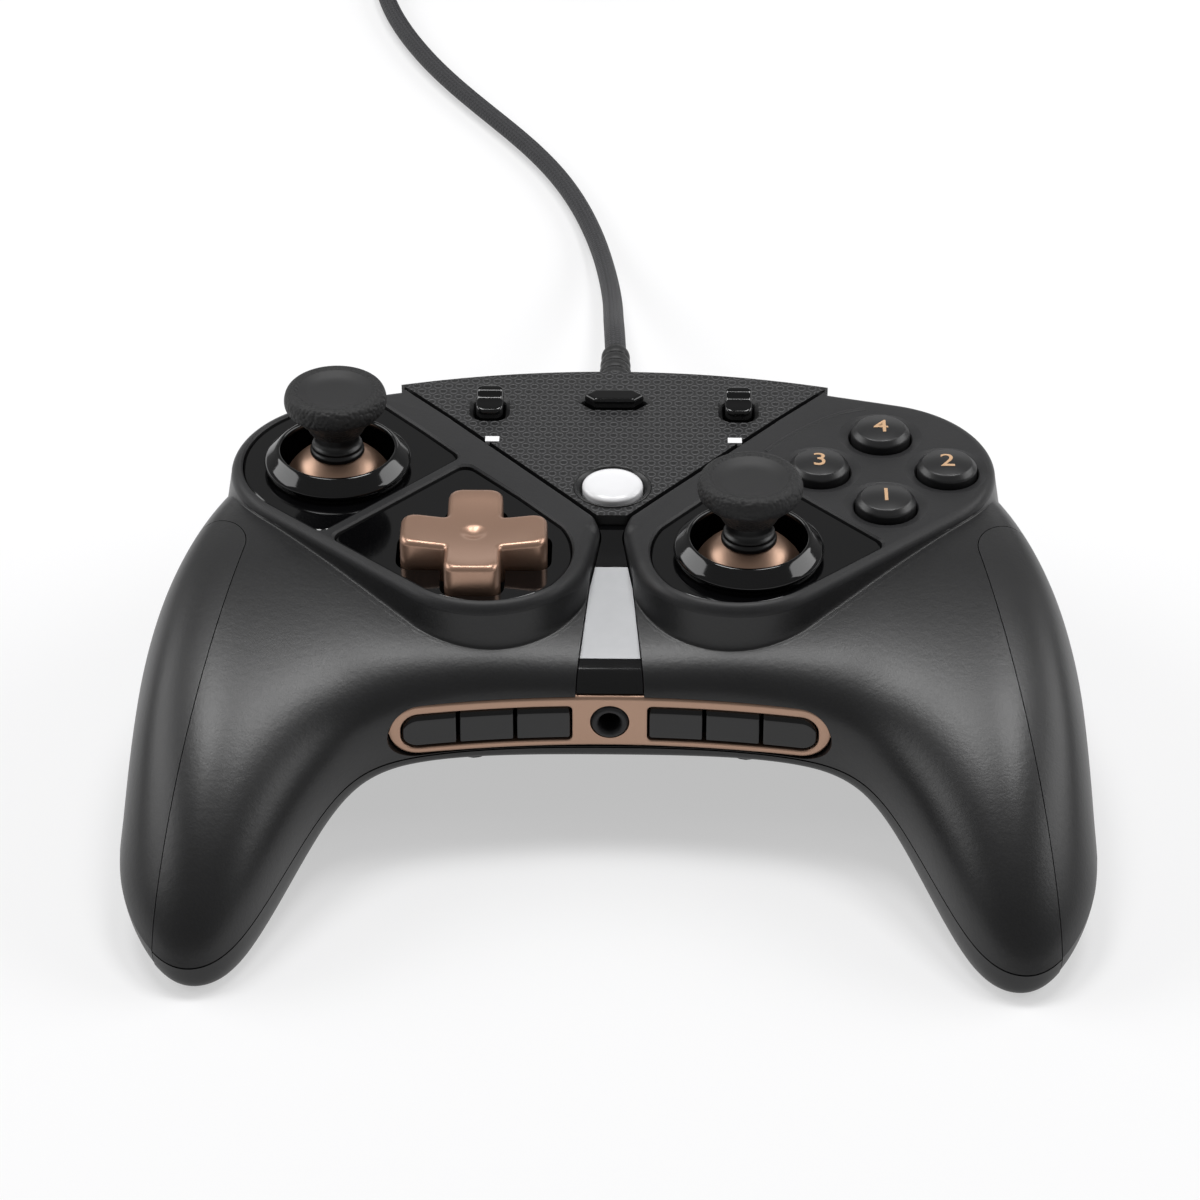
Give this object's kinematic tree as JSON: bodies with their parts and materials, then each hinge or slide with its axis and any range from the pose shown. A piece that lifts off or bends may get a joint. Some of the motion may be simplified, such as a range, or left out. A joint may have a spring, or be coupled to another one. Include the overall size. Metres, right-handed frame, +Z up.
{
  "type": "gamepad controller",
  "caption": "Two-grip wired game controller with staggered thumb sticks, direction pad, face, shoulder and rear buttons, triggers and a braided cable.",
  "frame": {"origin": "middle of the controller's outline without its cable, on the surface that it rests on", "axes": "+X to the right across the grips, +Y to the rear where the cable leaves, +Z up"},
  "size_m": [0.163, 0.4466, 0.0576],
  "materials": {
    "charcoal_shell": "fine matte charcoal moulding",
    "under_shell": "fine matte dark moulding",
    "grip_skin": "matte soft-touch skin",
    "panel": "dark patterned panel",
    "gloss_black": "polished black moulding",
    "silver_inlay": "bright grey polished inlay",
    "bronze": "satin bronze coat",
    "dark_key": "satin dark key plastic",
    "white_lens": "milky white lens",
    "cap_rubber": "grainy black rubber",
    "steel": "plain steel",
    "pivot_plastic": "plain dark plastic",
    "membrane_rubber": "soft grey silicone",
    "board": "green lacquer",
    "boot_rubber": "ribbed black rubber",
    "braid": "dark grey braided sleeve",
    "tie": "black hook-and-loop strap",
    "plug_plastic": "black overmould"
  },
  "bodies": {
    "housing": {"top_shell": "charcoal_shell", "bottom_shell": "under_shell", "left_grip": "grip_skin", "right_grip": "grip_skin", "left_wing": "charcoal_shell", "right_wing": "charcoal_shell", "centre_panel": "panel", "centre_strip": "gloss_black", "strip_inlay": "silver_inlay", "front_bezel": "bronze", "audio_jack": "gloss_black", "dpad_module": "gloss_black", "left_stick_module": "gloss_black", "right_stick_module": "gloss_black", "face_module": "charcoal_shell", "button_membrane": "membrane_rubber", "bumper_pins": "steel", "trigger_pins": "steel", "circuit_board": "board", "rumble_motors": "steel", "housing_screws": "steel", "strain_relief": "boot_rubber", "cable_lead": "braid", "cable_coil": "braid", "coil_tie": "tie", "usb_plug": "plug_plastic"},
    "front_button_1": {"front_button_1": "dark_key"},
    "front_button_2": {"front_button_2": "dark_key"},
    "front_button_3": {"front_button_3": "dark_key"},
    "front_button_4": {"front_button_4": "dark_key"},
    "front_button_5": {"front_button_5": "dark_key"},
    "front_button_6": {"front_button_6": "dark_key"},
    "guide_button": {"guide_button": "white_lens"},
    "view_button": {"view_button": "gloss_black"},
    "menu_button": {"menu_button": "gloss_black"},
    "share_button": {"share_button": "gloss_black"},
    "dpad_hub": {"dpad_hub": "steel"},
    "dpad": {"dpad": "bronze"},
    "left_stick_yoke": {"left_stick_yoke": "steel"},
    "left_stick_pivot": {"left_stick_pivot": "pivot_plastic"},
    "left_stick": {"left_stick": "bronze", "left_stick_cap": "cap_rubber"},
    "right_stick_yoke": {"right_stick_yoke": "steel"},
    "right_stick_pivot": {"right_stick_pivot": "pivot_plastic"},
    "right_stick": {"right_stick": "bronze", "right_stick_cap": "cap_rubber"},
    "face_button_1": {"face_button_1": "dark_key"},
    "face_button_2": {"face_button_2": "dark_key"},
    "face_button_3": {"face_button_3": "dark_key"},
    "face_button_4": {"face_button_4": "dark_key"},
    "left_bumper": {"left_bumper": "dark_key"},
    "left_trigger": {"left_trigger": "dark_key"},
    "right_bumper": {"right_bumper": "dark_key"},
    "right_trigger": {"right_trigger": "dark_key"},
    "rear_button_1": {"rear_button_1": "dark_key"},
    "rear_button_2": {"rear_button_2": "dark_key"},
    "rear_button_3": {"rear_button_3": "dark_key"},
    "rear_button_4": {"rear_button_4": "dark_key"},
    "left_rumble_weight": {"left_rumble_weight": "steel"},
    "right_rumble_weight": {"right_rumble_weight": "steel"}
  },
  "joints": [
    {"name": "front_button_1_press", "type": "slide", "parent": "housing", "child": "front_button_1", "axis": [0, 1, 0], "range_m": [0, 0.0008], "stiffness_N_per_m": 400},
    {"name": "front_button_2_press", "type": "slide", "parent": "housing", "child": "front_button_2", "axis": [0, 1, 0], "range_m": [0, 0.0008], "stiffness_N_per_m": 400},
    {"name": "front_button_3_press", "type": "slide", "parent": "housing", "child": "front_button_3", "axis": [0, 1, 0], "range_m": [0, 0.0008], "stiffness_N_per_m": 400},
    {"name": "front_button_4_press", "type": "slide", "parent": "housing", "child": "front_button_4", "axis": [0, 1, 0], "range_m": [0, 0.0008], "stiffness_N_per_m": 400},
    {"name": "front_button_5_press", "type": "slide", "parent": "housing", "child": "front_button_5", "axis": [0, 1, 0], "range_m": [0, 0.0008], "stiffness_N_per_m": 400},
    {"name": "front_button_6_press", "type": "slide", "parent": "housing", "child": "front_button_6", "axis": [0, 1, 0], "range_m": [0, 0.0008], "stiffness_N_per_m": 400},
    {"name": "guide_button_press", "type": "slide", "parent": "housing", "child": "guide_button", "axis": [0, 0, -1], "range_m": [0, 0.0006], "stiffness_N_per_m": 400},
    {"name": "view_button_press", "type": "slide", "parent": "housing", "child": "view_button", "axis": [0, 0, -1], "range_m": [0, 0.0006], "stiffness_N_per_m": 400},
    {"name": "menu_button_press", "type": "slide", "parent": "housing", "child": "menu_button", "axis": [0, 0, -1], "range_m": [0, 0.0006], "stiffness_N_per_m": 400},
    {"name": "share_button_press", "type": "slide", "parent": "housing", "child": "share_button", "axis": [0, 0, -1], "range_m": [0, 0.0006], "stiffness_N_per_m": 400},
    {"name": "dpad_rock_fore_aft", "type": "hinge", "parent": "housing", "child": "dpad_hub", "pos_m": [-0.0236, 0.00215, 0.039], "axis": [1, 0, 0], "range_deg": [-6, 6], "stiffness_Nm_per_rad": 0.05},
    {"name": "dpad_rock_sideways", "type": "hinge", "parent": "dpad_hub", "child": "dpad", "pos_m": [-0.0236, 0.00215, 0.039], "axis": [0, 1, 0], "range_deg": [-6, 6], "stiffness_Nm_per_rad": 0.05},
    {"name": "left_stick_tilt_fore_aft", "type": "hinge", "parent": "housing", "child": "left_stick_yoke", "pos_m": [-0.0488, 0.02965, 0.035], "axis": [1, 0, 0], "range_deg": [-18, 18], "stiffness_Nm_per_rad": 0.05},
    {"name": "left_stick_tilt_sideways", "type": "hinge", "parent": "left_stick_yoke", "child": "left_stick_pivot", "pos_m": [-0.0488, 0.02965, 0.035], "axis": [0, 1, 0], "range_deg": [-18, 18], "stiffness_Nm_per_rad": 0.05},
    {"name": "left_stick_click", "type": "slide", "parent": "left_stick_pivot", "child": "left_stick", "axis": [0, 0, -1], "range_m": [0, 0.0005], "stiffness_N_per_m": 2000},
    {"name": "right_stick_tilt_fore_aft", "type": "hinge", "parent": "housing", "child": "right_stick_yoke", "pos_m": [0.0236, 0.00215, 0.035], "axis": [1, 0, 0], "range_deg": [-18, 18], "stiffness_Nm_per_rad": 0.05},
    {"name": "right_stick_tilt_sideways", "type": "hinge", "parent": "right_stick_yoke", "child": "right_stick_pivot", "pos_m": [0.0236, 0.00215, 0.035], "axis": [0, 1, 0], "range_deg": [-18, 18], "stiffness_Nm_per_rad": 0.05},
    {"name": "right_stick_click", "type": "slide", "parent": "right_stick_pivot", "child": "right_stick", "axis": [0, 0, -1], "range_m": [0, 0.0005], "stiffness_N_per_m": 2000},
    {"name": "face_button_1_press", "type": "slide", "parent": "housing", "child": "face_button_1", "axis": [0, 0, -1], "range_m": [0, 0.0015], "stiffness_N_per_m": 400},
    {"name": "face_button_2_press", "type": "slide", "parent": "housing", "child": "face_button_2", "axis": [0, 0, -1], "range_m": [0, 0.0015], "stiffness_N_per_m": 400},
    {"name": "face_button_3_press", "type": "slide", "parent": "housing", "child": "face_button_3", "axis": [0, 0, -1], "range_m": [0, 0.0015], "stiffness_N_per_m": 400},
    {"name": "face_button_4_press", "type": "slide", "parent": "housing", "child": "face_button_4", "axis": [0, 0, -1], "range_m": [0, 0.0015], "stiffness_N_per_m": 400},
    {"name": "left_bumper_press", "type": "hinge", "parent": "housing", "child": "left_bumper", "pos_m": [-0.013, 0.05913, 0.033], "axis": [0, 0, 1], "range_deg": [0, 2.5], "stiffness_Nm_per_rad": 0.8},
    {"name": "left_trigger_pull", "type": "hinge", "parent": "housing", "child": "left_trigger", "pos_m": [-0.043, 0.0484, 0.024], "axis": [-1, 0, 0], "range_deg": [0, 18], "stiffness_Nm_per_rad": 0.2},
    {"name": "right_bumper_press", "type": "hinge", "parent": "housing", "child": "right_bumper", "pos_m": [0.013, 0.05913, 0.033], "axis": [0, 0, -1], "range_deg": [0, 2.5], "stiffness_Nm_per_rad": 0.8},
    {"name": "right_trigger_pull", "type": "hinge", "parent": "housing", "child": "right_trigger", "pos_m": [0.043, 0.0484, 0.024], "axis": [-1, 0, 0], "range_deg": [0, 18], "stiffness_Nm_per_rad": 0.2},
    {"name": "rear_button_1_press", "type": "slide", "parent": "housing", "child": "rear_button_1", "axis": [0, 0, 1], "range_m": [0, 0.0007], "stiffness_N_per_m": 400},
    {"name": "rear_button_2_press", "type": "slide", "parent": "housing", "child": "rear_button_2", "axis": [0, 0, 1], "range_m": [0, 0.0007], "stiffness_N_per_m": 400},
    {"name": "rear_button_3_press", "type": "slide", "parent": "housing", "child": "rear_button_3", "axis": [0, 0, 1], "range_m": [0, 0.0007], "stiffness_N_per_m": 400},
    {"name": "rear_button_4_press", "type": "slide", "parent": "housing", "child": "rear_button_4", "axis": [0, 0, 1], "range_m": [0, 0.0007], "stiffness_N_per_m": 400},
    {"name": "left_rumble_weight_spin", "type": "hinge", "parent": "housing", "child": "left_rumble_weight", "pos_m": [-0.055, -0.0141, 0.017], "axis": [0, 1, 0], "continuous": true},
    {"name": "right_rumble_weight_spin", "type": "hinge", "parent": "housing", "child": "right_rumble_weight", "pos_m": [0.055, -0.0141, 0.017], "axis": [0, 1, 0], "continuous": true}
  ]
}
